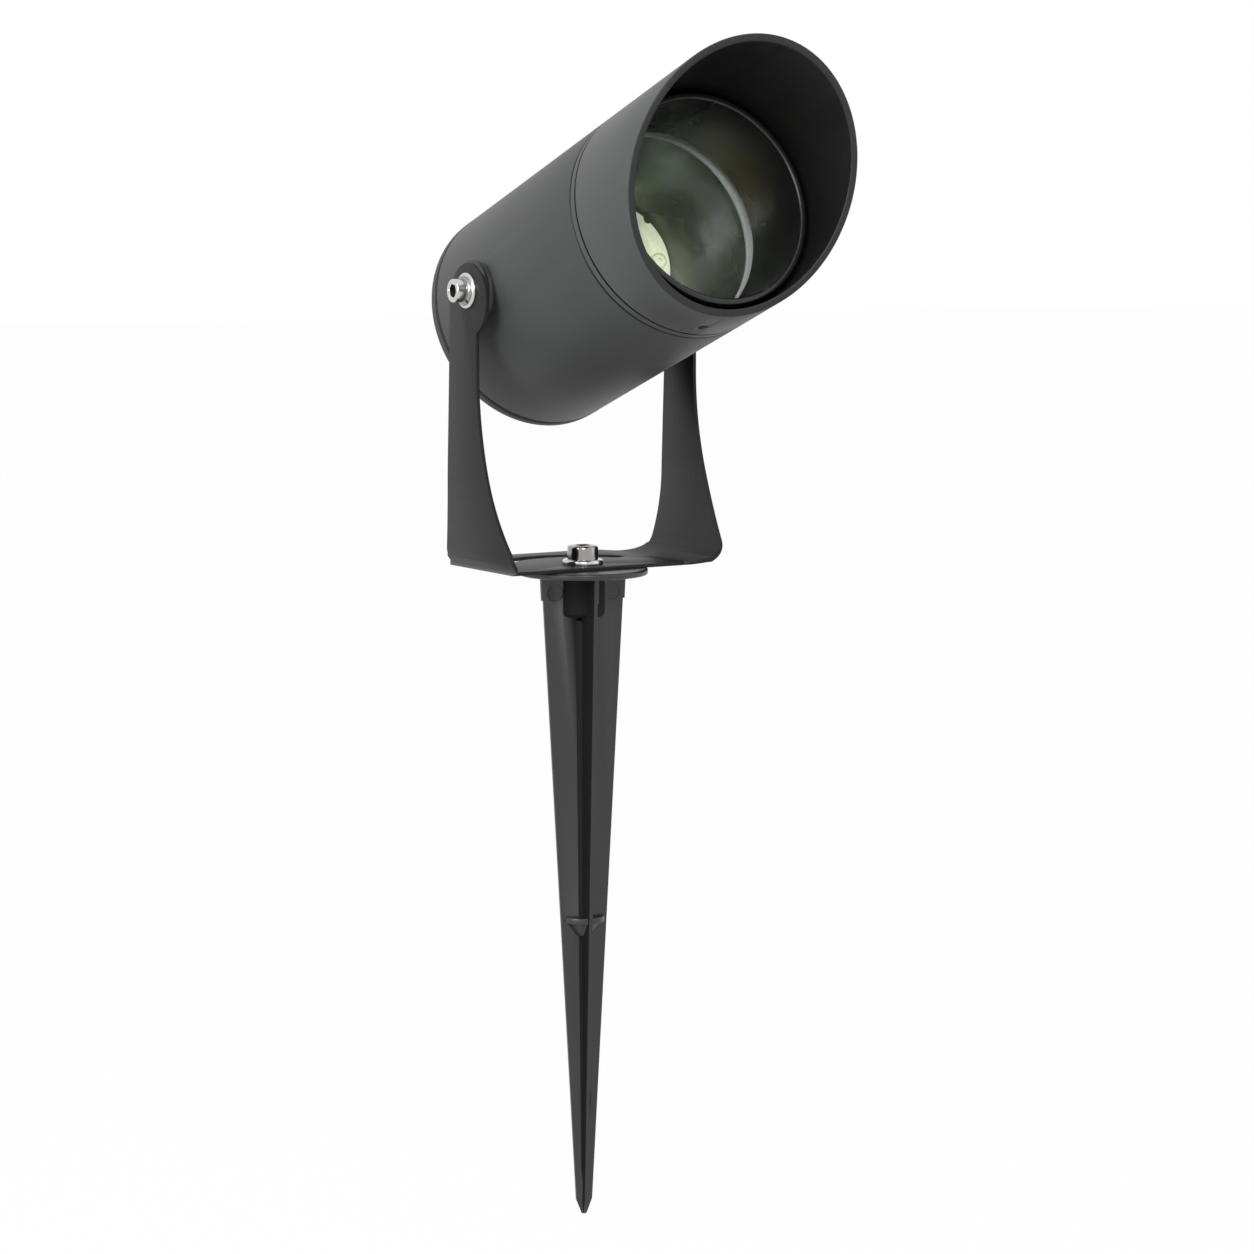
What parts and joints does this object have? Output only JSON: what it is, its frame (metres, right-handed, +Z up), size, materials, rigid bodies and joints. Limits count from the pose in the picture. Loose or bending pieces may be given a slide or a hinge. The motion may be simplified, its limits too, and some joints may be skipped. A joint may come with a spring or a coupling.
{
  "type": "garden spike spotlight",
  "caption": "Outdoor spotlight: round lamp head with slanted glare hood, tilting in a bent yoke that swivels on a cross-vaned ground spike.",
  "frame": {"origin": "on the spike's axis, at the underside of the spike's flange, which is the soil line", "axes": "+Z up the spike, -Y the front that the beam points to, X along the tilt axis"},
  "size_m": [0.1208, 0.1929, 0.4928],
  "materials": {
    "coated_aluminium": "fine-textured anthracite powder coat on cast aluminium",
    "coated_steel": "matt black powder coat on folded sheet",
    "stainless": "bright stainless fasteners",
    "black_nylon": "moulded glass-filled nylon",
    "black_rubber": "moulded rubber",
    "driver_case": "potted driver case",
    "bare_aluminium": "bare machined aluminium",
    "phosphor": "yellow phosphor",
    "cream_plastic": "moulded holder",
    "dark_reflector": "dark glossy cone",
    "clear_glass": "thick toughened glass with a faint green edge",
    "brass_insert": "turned brass"
  },
  "bodies": {
    "ground_spike": {"spike": "black_nylon", "spike_insert": "brass_insert", "swivel_bolt": "stainless", "swivel_washer": "stainless"},
    "yoke_body": {"yoke": "coated_steel"},
    "lamp_head": {"barrel": "coated_aluminium", "rear_cap": "coated_aluminium", "rear_cap_seal": "black_rubber", "rear_cap_screws": "stainless", "gland_washer": "black_rubber", "gland_body": "black_nylon", "gland_nut": "black_nylon", "gland_bush": "black_rubber", "gland_lock_nut": "black_nylon", "driver": "driver_case", "heat_sink": "bare_aluminium", "cob_board": "bare_aluminium", "cob_emitter": "phosphor", "cob_holder": "cream_plastic", "cob_holder_screws": "stainless", "reflector": "dark_reflector", "glass_seal": "black_rubber", "front_glass": "clear_glass", "glass_ring": "coated_aluminium", "tilt_screws": "stainless", "tilt_washers": "stainless", "tilt_spring_washers": "stainless", "friction_washers": "black_nylon"},
    "hood_body": {"hood": "coated_aluminium", "hood_grub_screw": "stainless"}
  },
  "joints": [
    {"name": "yoke_swivel", "type": "hinge", "parent": "ground_spike", "child": "yoke_body", "pos_m": [0, 0, 0.00345], "axis": [0, 0, 1], "continuous": true},
    {"name": "head_tilt", "type": "hinge", "parent": "yoke_body", "child": "lamp_head", "pos_m": [0, 0.0018, 0.1186], "axis": [-1, 0, 0], "range_deg": [-69, 203]},
    {"name": "hood_turn", "type": "hinge", "parent": "lamp_head", "child": "hood_body", "pos_m": [0, -0.08085, 0.14941], "axis": [0, -0.9421, 0.3355], "continuous": true}
  ]
}
